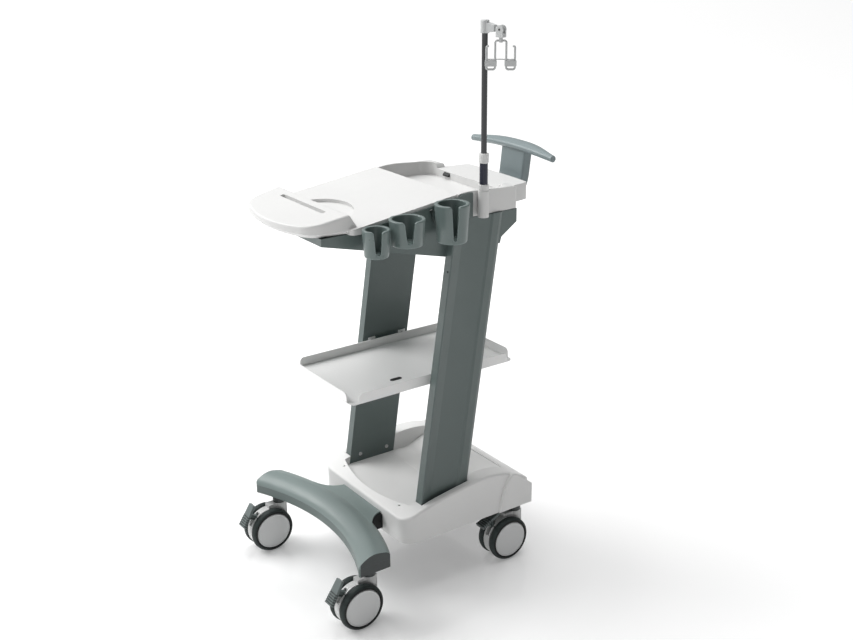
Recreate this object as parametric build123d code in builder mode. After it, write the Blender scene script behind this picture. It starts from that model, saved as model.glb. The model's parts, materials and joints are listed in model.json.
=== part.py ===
"""Ultrasound mobile trolley.

Millimetres, +Z up, -Y is the user's side, +X is the user's right. The origin is on the floor,
under the middle of the trolley's bounding box.
"""
import os
from math import cos, hypot, radians, sin, sqrt

from build123d import *

os.makedirs("parts", exist_ok=True)

# Casters
WHEEL_RADIUS = 50.0
TRAIL = 31.0                      # wheel axle ahead of the swivel axis
FRONT_STEM = (190.0, -222.0)
REAR_STEM = (154.0, 187.0)
HOUSING_HALF = 9.2                # half thickness of the housing between the wheels
HOUSING_RADIUS = 47.0
WHEEL_INNER = 10.6                # inner face of a wheel, from the swivel axis
AXLE_RADIUS = 4.0
HUB_BORE_RADIUS = 4.05
STEM_RADIUS = 5.5
STEM_BORE_RADIUS = 5.56
NECK_TOP = 106.0
COLLAR_BOTTOM = 106.8
PEDAL_PIVOT = (-30.0, 33.0)       # from the wheel's centre, Y and Z
PEDAL_TRAVEL = 35.0               # degrees from released to pressed
PEDAL_PIN_RADIUS = 2.5

# Base
BASE_HALF = 170.0
BASE_FRONT = -117.0
BASE_REAR = 229.0
BASE_BOTTOM = 121.0
BASE_WALL = 3.0
BASE_CORNER = 34.0
RIM_PROFILE = [(-117, 177), (-62, 196), (20, 211), (98, 219), (160, 209), (229, 168)]
PAN_HALF = 131.4
PAN_FRONT = -100.0
PAN_REAR = 168.0
PAN_TOP = 176.0
PAN_SEAM = 41.0
CHASSIS_TOP = 150.0

# Front foot: an arc about a vertical axis in front of the trolley
FOOT_CENTRE_Y = -690.0
FOOT_INNER = 480.0
FOOT_OUTER = 548.0
FOOT_HALF = 222.0
FOOT_BOTTOM = 127.0
FOOT_SEAM = 146.0
FOOT_TOP = 168.5
FOOT_ROOF = 164.0                  # flat part running back to the base

# Pillars
PILLAR_INNER = 131.4
PILLAR_OUTER = 152.8
PILLAR_LEAN = 0.15                # rearward travel per unit of height
PILLAR_FRONT_AT_FLOOR = -93.4
PILLAR_DEPTH = 119.6
PILLAR_TOP = 802.0

# Shelf
SHELF_HALF = 119.5
SHELF_FRONT = -208.0
SHELF_REAR = 205.0
SHELF_Z = 452.6
SHELF_LIP = 21.6
SHEET = 2.0

# Table
TABLE_HALF = 148.0
TABLE_SLOPE = 0.13
SLAB_FRONT = -213.0
TABLE_BREAK = 32.0                # rear end of the sloping surface
TABLE_THICK = 14.0
LIP_BOTTOM = 819.0                 # lower end of the table's lip, the pocket's front wall
RECESS_HALF = 88.0
RECESS_DEPTH = 62.0
POCKET_FLOOR = 822.0
POCKET_REAR = 166.0
STEP_HALF = 110.0                  # straight part of the step behind the pocket
PLATFORM_TOP = 839.0
WING_TOP_REAR = (-210.0, 850.0)
WING_FRONT = (-316.0, 831.0)
BLOCK_HALF = 147.7
BLOCK_FRONT = 35.4
BLOCK_REAR = 252.0
BLOCK_BOTTOM = 803.0
BOSS_TOP = 857.0
RIM_THICK = 7.0
RIM_REAR = 187.0
RIM_END = 108.0                    # where the rim has come down to the platform, from the middle
RIM_PROFILE_TOP = [(35.4, 853.4), (62, 855.6), (95, 854.6), (140, 851.2), (180, 848.2), (187, 846.0)]
FRAME_FRONT = -269.0
FRAME_REAR = 192.0
FRAME_TOP = 802.4
TRAY_WALL = 3.0
LATCH_X = -71.0
LATCH_WIDTH = 21.0
LATCH_BOTTOM = 828.4
LATCH_HEIGHT = 8.0

# Cups: name, centre x, centre y, rim z, height, outer radius, inner radius, slot at rim, slot at floor
CUPS = [
    ("cup_small", 176.0, -176.0, 826.0, 54.0, 27.0, 20.0, 20.0, 10.0),
    ("cup_medium", 182.0, -110.0, 837.0, 52.0, 35.5, 28.5, 24.0, 11.0),
    ("cup_large", 181.0, -4.0, 850.0, 77.0, 35.0, 27.0, 18.0, 7.0),
]
RAIL_X = 148.0
RAIL_THICK = 3.6
CUP_SLOT_ANGLE = -24.0            # direction of the cups' slots, from +X

# Cable hanger
POLE_X = 162.0
POLE_Y = 87.0
POLE_RADIUS = 5.8
POLE_BORE_RADIUS = 5.86
POLE_TOP = 1186.0
ARM_ANGLE = 16.0                  # head arm's direction, from +X
ARM_REACH = 37.5
PIN_HEIGHT = 1173.0
HANGER_ANGLE = 54.5
WIRE_RADIUS = 2.0

# Handle
BAR_HALF = 138.0
BAR_END = (288.0, 888.0)
BAR_MIDDLE = (301.23, 894.5)


def save(part, name):
    """Name a finished piece and write it to its own file."""
    part.label = name
    export_step(part, f"parts/{name}.step")


def side_plane(x, y=0.0, z=0.0):
    """A plane facing +X whose own x is +Y and whose own y is +Z."""
    return Plane(origin=(x, y, z), x_dir=(0, 1, 0), z_dir=(1, 0, 0))


def table_z(y):
    """Height of the sloping table surface at y."""
    return 825.0 + TABLE_SLOPE * (y + 192.0)


# ---------------------------------------------------------------- casters

def caster_housing(name, stem_x, stem_y):
    """Body between the twin wheels, with its neck, axle bore and pedal notch."""
    wheel_y = stem_y - TRAIL
    centre = side_plane(stem_x, wheel_y, WHEEL_RADIUS)
    neck_height = NECK_TOP - WHEEL_RADIUS
    with BuildPart() as housing:
        with BuildSketch(centre):
            Circle(HOUSING_RADIUS)
            with Locations((TRAIL / 2 + 7, neck_height / 2)):
                Rectangle(TRAIL + 14, neck_height)
        extrude(amount=HOUSING_HALF, both=True)
        with BuildSketch(Plane.XY.offset(70)):
            with Locations((stem_x, stem_y)):
                Circle(14)
        extrude(amount=NECK_TOP - 70)
        with BuildSketch(Plane.XY.offset(72)):
            with Locations((stem_x, stem_y)):
                Circle(STEM_BORE_RADIUS)
        extrude(amount=NECK_TOP - 72, mode=Mode.SUBTRACT)
        for side in (-1, 1):
            with BuildSketch(side_plane(stem_x + side * HOUSING_HALF, wheel_y, WHEEL_RADIUS)):
                Circle(WHEEL_RADIUS + 1.4)
            extrude(amount=side * 22, mode=Mode.SUBTRACT)
        with BuildSketch(centre):
            with Locations((-46, 38)):
                Rectangle(48, 48)
        extrude(amount=5.4, both=True, mode=Mode.SUBTRACT)
        with BuildSketch(centre):
            Circle(AXLE_RADIUS)
            with Locations(PEDAL_PIVOT):
                Circle(PEDAL_PIN_RADIUS + 0.05)
        extrude(amount=HOUSING_HALF, both=True, mode=Mode.SUBTRACT)
    save(housing.part, f"{name}_housing")


def caster_pedal(name, stem_x, stem_y, pedal_angle):
    """Ribbed brake pedal on its moulded pivot pin, turned by pedal_angle about the pivot."""
    pivot_y = stem_y - TRAIL + PEDAL_PIVOT[0]
    pivot_z = WHEEL_RADIUS + PEDAL_PIVOT[1]
    turn = radians(pedal_angle)
    arm_plane = Plane(origin=(stem_x, pivot_y, pivot_z), x_dir=(0, cos(turn), sin(turn)), z_dir=(1, 0, 0))
    plate_low = Vector(-36.0, -12.0)
    plate_high = Vector(-8.5, 35.0)
    along = (plate_high - plate_low).normalized()
    outward = Vector(-along.Y, along.X)
    middle = (plate_low + plate_high) * 0.5
    origin = arm_plane.from_local_coords((middle.X, middle.Y, 0))
    normal = arm_plane.from_local_coords((middle.X + outward.X, middle.Y + outward.Y, 0)) - origin
    plate_plane = Plane(origin=origin, x_dir=(1, 0, 0), z_dir=normal)
    half_length = (plate_high - plate_low).length / 2
    toe = 1 if plate_plane.y_dir.Z < 0 else -1
    with BuildPart() as pedal:
        with BuildSketch(plate_plane):
            with BuildLine():
                Polyline((-13, toe * half_length), (13, toe * half_length),
                         (9.5, -toe * half_length), (-9.5, -toe * half_length), close=True)
            make_face()
        extrude(amount=-6)
        with BuildSketch(plate_plane):
            for rib in range(5):
                with Locations((0, toe * (half_length - 1.6 - 5.2 * rib))):
                    Rectangle(24 - 0.6 * rib, 2.6)
        extrude(amount=1.6)
        with BuildSketch(arm_plane):
            Circle(5.8)
            with Locations((-16, 6)):
                Circle(4.5)
            make_hull()
        extrude(amount=5, both=True)
        with BuildSketch(arm_plane):
            with Locations((-16, 6)):
                Circle(4.5)
            with Locations(middle - outward * 3):
                Circle(3)
            make_hull()
        extrude(amount=5, both=True)
        with BuildSketch(arm_plane):
            Circle(PEDAL_PIN_RADIUS)
        extrude(amount=HOUSING_HALF - 0.2, both=True)
    save(pedal.part, f"{name}_pedal")


def caster_axle(name, stem_x, stem_y):
    """Steel axle pressed through the housing."""
    with BuildPart() as axle:
        with BuildSketch(side_plane(stem_x, stem_y - TRAIL, WHEEL_RADIUS)):
            Circle(AXLE_RADIUS)
        extrude(amount=24, both=True)
        chamfer(axle.edges().filter_by(GeomType.CIRCLE), 0.6)
    save(axle.part, f"{name}_axle")


def caster_hub(name, stem_x, stem_y, side, label):
    """Wheel centre: bearing boss, web, rim and the plain domed cap on its outer face."""
    centre = (stem_x, stem_y - TRAIL, WHEEL_RADIUS)
    section = Plane(origin=centre, x_dir=(side, 0, 0), z_dir=(0, -side, 0))
    with BuildPart() as hub:
        with BuildSketch(section):
            with BuildLine():
                Polyline((WHEEL_INNER, HUB_BORE_RADIUS), (24.4, HUB_BORE_RADIUS), (24.4, 0), (28.4, 0))
                ThreePointArc((28.4, 0), (28.1, 19), (27.2, 37.4))
                Polyline((27.2, 37.4), (28, 37.9), (28.2, 38.8), (27.9, 39.7), (25.6, 41), (12, 41),
                         (12, 37), (20, 34), (20, 11), (WHEEL_INNER, 9), (WHEEL_INNER, HUB_BORE_RADIUS))
            make_face()
        revolve(axis=Axis(centre, (1, 0, 0)))
    save(hub.part, f"{name}_hub_{label}")


def caster_tyre(name, stem_x, stem_y, side, label):
    """Soft tyre with rounded shoulders on the hub's rim."""
    centre = (stem_x, stem_y - TRAIL, WHEEL_RADIUS)
    section = Plane(origin=centre, x_dir=(side, 0, 0), z_dir=(0, -side, 0))
    with BuildPart() as tyre:
        with BuildSketch(section):
            with BuildLine():
                Polyline((12, 41), (25.6, 41), (27.3, 42))
                ThreePointArc((27.3, 42), (27, 46.6), (23.4, 49.3))
                ThreePointArc((23.4, 49.3), (19, WHEEL_RADIUS), (14.6, 49.3))
                ThreePointArc((14.6, 49.3), (11.4, 46.8), (10.9, 42))
                Line((10.9, 42), (12, 41))
            make_face()
        revolve(axis=Axis(centre, (1, 0, 0)))
    save(tyre.part, f"{name}_tyre_{label}")


CASTERS = [
    ("caster_front_left", -FRONT_STEM[0], FRONT_STEM[1], 0.0),
    ("caster_front_right", FRONT_STEM[0], FRONT_STEM[1], 0.0),
    ("caster_rear_left", -REAR_STEM[0], REAR_STEM[1], -PEDAL_TRAVEL),
    ("caster_rear_right", REAR_STEM[0], REAR_STEM[1], -PEDAL_TRAVEL),
]
for caster, stem_x, stem_y, pedal_angle in CASTERS:
    caster_housing(caster, stem_x, stem_y)
    caster_pedal(caster, stem_x, stem_y, pedal_angle)
    caster_axle(caster, stem_x, stem_y)
    for side, label in ((-1, "left"), (1, "right")):
        caster_hub(caster, stem_x, stem_y, side, label)
        caster_tyre(caster, stem_x, stem_y, side, label)

# Fixed stems with their collars: long collars under the foot, short ones under the base
with BuildPart() as caster_stems:
    for stem, collar_top, stem_top in ((FRONT_STEM, FOOT_BOTTOM, 144.0),
                                       (REAR_STEM, BASE_BOTTOM, 146.0)):
        with BuildSketch(Plane.XY.offset(COLLAR_BOTTOM)):
            with Locations((-stem[0], stem[1]), (stem[0], stem[1])):
                Circle(14.5)
        extrude(amount=collar_top - COLLAR_BOTTOM)
        with BuildSketch(Plane.XY.offset(73)):
            with Locations((-stem[0], stem[1]), (stem[0], stem[1])):
                Circle(STEM_RADIUS)
        extrude(amount=stem_top - 73)
save(caster_stems.part, "caster_stems")


# ---------------------------------------------------------------- front foot

def foot_plan(inset):
    """Plan of the bowed foot: two concentric arcs and two short ends with rounded corners."""
    end_x = FOOT_HALF - inset
    inner = FOOT_INNER + inset
    outer = FOOT_OUTER - inset
    inner_y = FOOT_CENTRE_Y + sqrt(inner ** 2 - end_x ** 2)
    outer_y = FOOT_CENTRE_Y + sqrt(outer ** 2 - end_x ** 2)
    with BuildSketch() as plan:
        with BuildLine():
            ThreePointArc((-end_x, inner_y), (0, FOOT_CENTRE_Y + inner), (end_x, inner_y))
            Line((end_x, inner_y), (end_x, outer_y))
            ThreePointArc((end_x, outer_y), (0, FOOT_CENTRE_Y + outer), (-end_x, outer_y))
            Line((-end_x, outer_y), (-end_x, inner_y))
        make_face()
        fillet(plan.vertices().sort_by(Axis.Y)[:2], max(4 - inset, 0.5))
        fillet(plan.vertices().sort_by(Axis.Y)[-2:], max(3 - inset, 0.5))
    return plan.sketch


def foot_crown(inset, bottom):
    """The crowned upper part of the foot, every outer face set in by inset."""
    front = FOOT_INNER + inset
    back = FOOT_OUTER - inset
    top = FOOT_TOP - inset
    with BuildPart() as crown:
        with BuildSketch(Plane(origin=(0, FOOT_CENTRE_Y, 0), x_dir=(0, -1, 0), z_dir=(-1, 0, 0))):
            with BuildLine():
                Line((front, bottom), (front, FOOT_SEAM + 1))
                Spline((front, FOOT_SEAM + 1), (front + 14, top - 6.5), (front + 36, top),
                       (back - 13, top - 4), (back, top - 13), tangents=((0.35, 1), (0.7, -1)))
                Polyline((back, top - 13), (back, bottom), (front, bottom))
            make_face()
        revolve(axis=Axis((0, FOOT_CENTRE_Y, 0), (0, 0, 1)))
        with BuildSketch(Plane.XY.offset(bottom)):
            add(foot_plan(inset))
        extrude(amount=60, mode=Mode.INTERSECT)
    return crown.part


# Upper moulding with its roof running back to the base
with BuildPart() as foot_arm_cover:
    add(foot_crown(0, FOOT_SEAM))
    add(foot_crown(3.2, FOOT_SEAM - 5), mode=Mode.SUBTRACT)
    with BuildSketch(Plane.XY.offset(FOOT_ROOF - 4)):
        with BuildLine():
            Spline((-125, -165), (-94, -150), (-79, -132), (-75, BASE_FRONT - 0.4))
            Line((-75, BASE_FRONT - 0.4), (75, BASE_FRONT - 0.4))
            Spline((75, BASE_FRONT - 0.4), (79, -132), (94, -150), (125, -165))
            Line((125, -165), (125, -172))
            ThreePointArc((125, -172), (0, FOOT_CENTRE_Y + FOOT_OUTER - 16), (-125, -172))
            Line((-125, -172), (-125, -165))
        make_face()
    extrude(amount=4)
save(foot_arm_cover.part, "foot_arm_cover")

# Cast beam under it: open on top around two stem bosses, with a spigot into the base
with BuildPart() as foot_beam:
    with BuildSketch(Plane.XY.offset(FOOT_BOTTOM)):
        add(foot_plan(0))
    extrude(amount=FOOT_SEAM - FOOT_BOTTOM)
    with BuildSketch(Plane.XY.offset(FOOT_BOTTOM + 6)):
        add(foot_plan(5))
        with Locations((-FRONT_STEM[0], FRONT_STEM[1]), (FRONT_STEM[0], FRONT_STEM[1])):
            Circle(16, mode=Mode.SUBTRACT)
        for rib_x in (-130, -65, 65, 130):
            with Locations((rib_x, FOOT_CENTRE_Y + FOOT_INNER + 26)):
                Rectangle(5, 110, mode=Mode.SUBTRACT)
    extrude(amount=FOOT_SEAM - FOOT_BOTTOM, mode=Mode.SUBTRACT)
    with BuildSketch(Plane.XY.offset(FOOT_BOTTOM)):
        with Locations((0, -102)):
            Rectangle(120, 90)
    extrude(amount=FOOT_SEAM - FOOT_BOTTOM)
    with BuildSketch(Plane.XY.offset(FOOT_BOTTOM)):
        with Locations((-FRONT_STEM[0], FRONT_STEM[1]), (FRONT_STEM[0], FRONT_STEM[1])):
            Circle(STEM_BORE_RADIUS)
    extrude(amount=FOOT_SEAM - FOOT_BOTTOM, mode=Mode.SUBTRACT)
save(foot_beam.part, "foot_beam")

# Soft block closing the gap around the spigot
with BuildPart() as foot_seal:
    with BuildSketch(Plane.XY.offset(FOOT_BOTTOM)):
        with Locations((0, -138)):
            Rectangle(164, 41.2)
        with Locations((0, FOOT_CENTRE_Y)):
            Circle(FOOT_OUTER + 0.3, mode=Mode.SUBTRACT)
    extrude(amount=FOOT_ROOF - 4.3 - FOOT_BOTTOM)
    with BuildSketch(Plane.XY.offset(FOOT_BOTTOM)):
        with Locations((0, -130)):
            Rectangle(121, 80)
    extrude(amount=FOOT_SEAM + 0.5 - FOOT_BOTTOM, mode=Mode.SUBTRACT)
save(foot_seal.part, "foot_seal")


# ---------------------------------------------------------------- base

def tub_volume(inset, drop, floor):
    """The base's outer form set in by inset, with its upper side lowered by drop."""
    low_y = BASE_FRONT - 20
    high_y = BASE_REAR + 20
    with BuildPart() as volume:
        with BuildSketch(Plane.XY.offset(floor)):
            with Locations((0, (BASE_FRONT + BASE_REAR) / 2)):
                RectangleRounded(2 * (BASE_HALF - inset), BASE_REAR - BASE_FRONT - 2 * inset,
                                 BASE_CORNER - inset)
        extrude(amount=260 - floor)
        with BuildSketch(side_plane(-BASE_HALF - 10)):
            with BuildLine():
                rim = Spline(*[(y, z - drop) for y, z in RIM_PROFILE])
                Polyline(rim @ 1, (high_y, (rim @ 1).Y - 14), (high_y, 0), (low_y, 0),
                         (low_y, (rim @ 0).Y - 8), rim @ 0)
            make_face()
        extrude(amount=2 * BASE_HALF + 20, mode=Mode.INTERSECT)
    return volume.part


def pan_outline(grow):
    """Outline of the well in the base: bowed front edge, straight sides and rear."""
    side_front = PAN_FRONT + 20.4
    with BuildSketch() as outline:
        with BuildLine():
            ThreePointArc((-PAN_HALF, side_front), (0, PAN_FRONT), (PAN_HALF, side_front))
            Polyline((PAN_HALF, side_front), (PAN_HALF, PAN_REAR), (-PAN_HALF, PAN_REAR),
                     (-PAN_HALF, side_front))
        make_face()
        if grow:
            offset(amount=grow, kind=Kind.INTERSECTION)
    return outline.sketch


def pillar_prism(side, clearance, bottom, top):
    """Leaning prism around one pillar, larger by clearance."""
    front = PILLAR_FRONT_AT_FLOOR + PILLAR_LEAN * bottom - clearance
    rise = top - bottom
    inner = PILLAR_INNER - 0.4
    outer = PILLAR_OUTER + 0.6 + clearance
    with BuildPart() as prism:
        with BuildSketch(Plane.XY.offset(bottom)):
            with Locations((side * (inner + outer) / 2, front + PILLAR_DEPTH / 2 + clearance)):
                Rectangle(outer - inner, PILLAR_DEPTH + 2 * clearance)
        extrude(amount=rise * hypot(1, PILLAR_LEAN), dir=(0, PILLAR_LEAN, 1))
    return prism.part


def well_ring():
    """Wall around the well, as high as the base's upper side."""
    with BuildPart() as ring:
        with BuildSketch(Plane.XY.offset(PAN_TOP - 24)):
            add(pan_outline(BASE_WALL))
        extrude(amount=90)
        add(tub_volume(0, 0, BASE_BOTTOM), mode=Mode.INTERSECT)
    return ring.part


with BuildPart() as base_shell:
    add(tub_volume(0, 0, BASE_BOTTOM))
    fillet(base_shell.faces().sort_by(Axis.Z)[-1].edges(), 5)
    add(tub_volume(BASE_WALL, BASE_WALL, BASE_BOTTOM - 10), mode=Mode.SUBTRACT)
    add(well_ring())
    with BuildSketch(Plane.XY.offset(BASE_BOTTOM - 10)):
        add(pan_outline(0))
    extrude(amount=150, mode=Mode.SUBTRACT)
    # ledge the floor panels rest on
    with BuildSketch(Plane.XY.offset(PAN_TOP - 8)):
        add(pan_outline(1))
        add(pan_outline(-7), mode=Mode.SUBTRACT)
    extrude(amount=4.8)
    # cheeks over the rear casters
    for side in (-1, 1):
        with BuildSketch(side_plane(side * (BASE_HALF - 4))):
            with BuildLine():
                Spline((131, BASE_BOTTOM), (141, 170), (165, 207.5), tangents=((0, 1), (1, 0.8)))
                Polyline((165, 207.5), (176, 205), (222, 168), (222, BASE_BOTTOM), (131, BASE_BOTTOM))
            make_face()
        extrude(amount=side * 10)
        fillet(base_shell.faces().sort_by(Axis.X)[-1 if side > 0 else 0].edges(), 4)
    for side in (-1, 1):
        add(pillar_prism(side, 0.4, 140, 240), mode=Mode.SUBTRACT)
    # opening for the foot's spigot, and the two small fixing holes of the front rim
    with BuildSketch(Plane.XZ.offset(-BASE_FRONT - 10)):
        with Locations((0, BASE_BOTTOM + 13)):
            Rectangle(124, 26)
    extrude(amount=20, mode=Mode.SUBTRACT)
    with BuildSketch(Plane.XY.offset(150)):
        with Locations((-112, -93), (112, -93)):
            Circle(2.4)
    extrude(amount=60, mode=Mode.SUBTRACT)
save(base_shell.part, "base_shell")

with BuildPart() as base_pan:
    with BuildSketch(Plane.XY.offset(PAN_TOP - 3)):
        add(pan_outline(-0.4))
        with Locations((0, PAN_SEAM + 100)):
            Rectangle(400, 200, mode=Mode.SUBTRACT)
    extrude(amount=3)
save(base_pan.part, "base_pan")

with BuildPart() as base_rear_cover:
    with BuildSketch(side_plane(-PAN_HALF + 0.4)):
        with BuildLine():
            front_y = PAN_SEAM + 0.4
            FilletPolyline((front_y, PAN_TOP), (90, PAN_TOP), (PAN_REAR - 0.4, PAN_TOP + 28), radius=24)
            Line((PAN_REAR - 0.4, PAN_TOP + 28), (PAN_REAR - 0.4, PAN_TOP + 24.8))
            FilletPolyline((PAN_REAR - 0.4, PAN_TOP + 24.8), (90.5, PAN_TOP - 3), (front_y, PAN_TOP - 3),
                           radius=24)
            Line((front_y, PAN_TOP - 3), (front_y, PAN_TOP))
        make_face()
    extrude(amount=2 * PAN_HALF - 0.8)
save(base_rear_cover.part, "base_rear_cover")

# Welded frame: two box rails, a front plate under the spigot and a rear cross member
with BuildPart() as base_chassis:
    rail_height = CHASSIS_TOP - BASE_BOTTOM
    with BuildSketch(Plane.XZ.offset(100)):
        with Locations((-141.5, BASE_BOTTOM + rail_height / 2), (141.5, BASE_BOTTOM + rail_height / 2)):
            Rectangle(33, rail_height)
            Rectangle(27, rail_height - 6, mode=Mode.SUBTRACT)
    extrude(amount=-305)
    with BuildSketch(Plane.XY.offset(BASE_BOTTOM)):
        with Locations((0, -79)):
            Rectangle(252, 42)
    extrude(amount=FOOT_BOTTOM - BASE_BOTTOM)
    with BuildSketch(Plane.XY.offset(BASE_BOTTOM + 4)):
        with Locations((0, 187)):
            Rectangle(252, 26)
            Rectangle(252, 20, mode=Mode.SUBTRACT)
    extrude(amount=rail_height - 4)
    with BuildSketch(Plane.XY.offset(BASE_BOTTOM)):
        with Locations((-REAR_STEM[0], REAR_STEM[1]), (REAR_STEM[0], REAR_STEM[1])):
            Circle(12)
    extrude(amount=rail_height)
    with BuildSketch(Plane.XY.offset(BASE_BOTTOM)):
        with Locations((-REAR_STEM[0], REAR_STEM[1]), (REAR_STEM[0], REAR_STEM[1])):
            Circle(STEM_BORE_RADIUS)
    extrude(amount=25.4, mode=Mode.SUBTRACT)
save(base_chassis.part, "base_chassis")


# ---------------------------------------------------------------- pillars and shelf

# Screws on the pillars' inner faces: the surface under the head, y, z
PILLAR_SCREWS = [(PILLAR_INNER, -37.9, 193.4), (PILLAR_INNER, 33.4, 191.9)]
TAB_SCREWS = [(PILLAR_INNER - 2.2, 0.0, 465.0), (PILLAR_INNER - 2.2, 80.0, 465.0)]
SCREW_SHANK = 2.0
SCREW_HEAD = 4.4


def pillar(side, name):
    """Hollow leaning pillar with a shallow channel and a ridge along its outer face."""
    front = PILLAR_FRONT_AT_FLOOR + PILLAR_LEAN * CHASSIS_TOP
    rise = (PILLAR_TOP - CHASSIS_TOP) * hypot(1, PILLAR_LEAN)
    with BuildPart() as post:
        with BuildSketch(Plane.XY.offset(CHASSIS_TOP)):
            with BuildLine():
                Polyline((side * PILLAR_INNER, front), (side * 150.8, front), (side * 152.8, front + 2),
                         (side * 147.6, front + 25))
                ThreePointArc((side * 147.6, front + 25), (side * 147.4, front + 58),
                              (side * 150, front + 90))
                Polyline((side * 150, front + 90), (side * 152.8, front + 95), (side * 151.4, front + 112),
                         (side * 148.6, front + PILLAR_DEPTH), (side * PILLAR_INNER, front + PILLAR_DEPTH),
                         (side * PILLAR_INNER, front))
            make_face()
            with Locations((side * 139.4, front + PILLAR_DEPTH / 2)):
                Rectangle(11, PILLAR_DEPTH - 9, mode=Mode.SUBTRACT)
        extrude(amount=rise, dir=(0, PILLAR_LEAN, 1))
        # bracket behind the pillar's head, under the rear block
        with BuildSketch(side_plane(side * (PILLAR_INNER + 0.3))):
            with BuildLine():
                Polyline((134, 735), (142, 735), (146, 748), (185, 774), (185, PILLAR_TOP), (143, PILLAR_TOP),
                         (134, 735))
            make_face()
        extrude(amount=side * 15.5)
        # fixing holes
        for screw in PILLAR_SCREWS + TAB_SCREWS:
            with BuildSketch(side_plane(side * (PILLAR_INNER - 1), screw[1], screw[2])):
                Circle(SCREW_SHANK + 0.1)
            extrude(amount=side * 7, mode=Mode.SUBTRACT)
        with BuildSketch(Plane.XZ.offset(-7)):
            with Locations((side * 145, 697)):
                Circle(2.5)
        extrude(amount=-9, mode=Mode.SUBTRACT)
    save(post.part, name)


pillar(-1, "pillar_left")
pillar(1, "pillar_right")

# Pan-head screws with a cross recess
with BuildPart() as frame_screws:
    for side in (-1, 1):
        for face_x, screw_y, screw_z in PILLAR_SCREWS + TAB_SCREWS:
            section = Plane(origin=(side * face_x, screw_y, screw_z), x_dir=(-side, 0, 0), z_dir=(0, side, 0))
            with BuildSketch(section):
                with BuildLine():
                    Polyline((0, 0), (0, SCREW_HEAD), (1, SCREW_HEAD))
                    ThreePointArc((1, SCREW_HEAD), (2.3, 3), (2.8, 0))
                    Line((2.8, 0), (0, 0))
                make_face()
            revolve(axis=Axis((face_x * side, screw_y, screw_z), (1, 0, 0)))
            with BuildSketch(side_plane(side * face_x, screw_y, screw_z)):
                Circle(SCREW_SHANK)
            extrude(amount=side * 5.8)
            with BuildSketch(side_plane(side * (face_x - 1.5), screw_y, screw_z)):
                Rectangle(4.2, 0.9)
                Rectangle(0.9, 4.2)
            extrude(amount=side * -3, mode=Mode.SUBTRACT)
save(frame_screws.part, "frame_screws")


shelf_length = SHELF_REAR - SHELF_FRONT
shelf_middle = (SHELF_FRONT + SHELF_REAR) / 2
with BuildPart() as shelf:
    with BuildSketch(Plane.XY.offset(SHELF_Z - SHEET)):
        with Locations((0, shelf_middle)):
            RectangleRounded(2 * SHELF_HALF, shelf_length, 13)
        with Locations((93, -108)):
            SlotOverall(16, 6, mode=Mode.SUBTRACT)
    extrude(amount=SHEET)
    # long flanges, then short ones, each with rounded upper corners
    for side in (-1, 1):
        with BuildSketch(side_plane(side * SHELF_HALF, shelf_middle, SHELF_Z - SHEET)):
            with Locations((0, SHELF_LIP / 2)):
                RectangleRounded(shelf_length - 36, SHELF_LIP, 10)
            with Locations((0, 4)):
                Rectangle(shelf_length - 36, 8)
        extrude(amount=-side * SHEET)
        with BuildSketch(Plane.XZ.offset(-SHELF_REAR if side > 0 else -SHELF_FRONT)):
            with Locations((0, SHELF_Z - SHEET + SHELF_LIP / 2)):
                RectangleRounded(2 * SHELF_HALF - 36, SHELF_LIP, 10)
            with Locations((0, SHELF_Z - SHEET + 4)):
                Rectangle(2 * SHELF_HALF - 36, 8)
        extrude(amount=side * SHEET)
    # tabs bent up against the pillars
    for side in (-1, 1):
        for _, tab_y, tab_z in TAB_SCREWS:
            with BuildSketch(side_plane(side * (SHELF_HALF - 1), tab_y, tab_z)):
                with Locations((0, -9)):
                    Rectangle(18, 3)
            extrude(amount=side * (PILLAR_INNER - SHELF_HALF + 1))
            with BuildSketch(side_plane(side * PILLAR_INNER, tab_y, tab_z)):
                with Locations((0, -1)):
                    Rectangle(18, 19)
                Circle(SCREW_SHANK + 0.1, mode=Mode.SUBTRACT)
            extrude(amount=-side * 2.2)
save(shelf.part, "shelf")


# ---------------------------------------------------------------- table

# Folded tray under the table, open on top
with BuildPart() as under_frame:
    with BuildSketch(side_plane(-PILLAR_INNER + 0.2)):
        with BuildLine():
            Polyline((FRAME_FRONT, 796), (FRAME_FRONT, 811), (-192, 811), (15, 837), (26, 837),
                     (26, FRAME_TOP), (FRAME_REAR, FRAME_TOP), (FRAME_REAR, 774), (120, 731), (18, 724),
                     (FRAME_FRONT, 796))
        make_face()
    extrude(amount=2 * PILLAR_INNER - 0.4)
    with BuildSketch(side_plane(-PILLAR_INNER + 0.2 + TRAY_WALL)):
        with BuildLine():
            tray_front = FRAME_FRONT + TRAY_WALL
            tray_rear = FRAME_REAR - TRAY_WALL
            Polyline((tray_front, 799), (tray_front, 860), (tray_rear, 860), (tray_rear, 776.4), (119, 734.1),
                     (18.5, 727.1), (tray_front, 799))
        make_face()
    extrude(amount=2 * (PILLAR_INNER - 0.2 - TRAY_WALL), mode=Mode.SUBTRACT)
save(under_frame.part, "under_frame")


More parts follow.
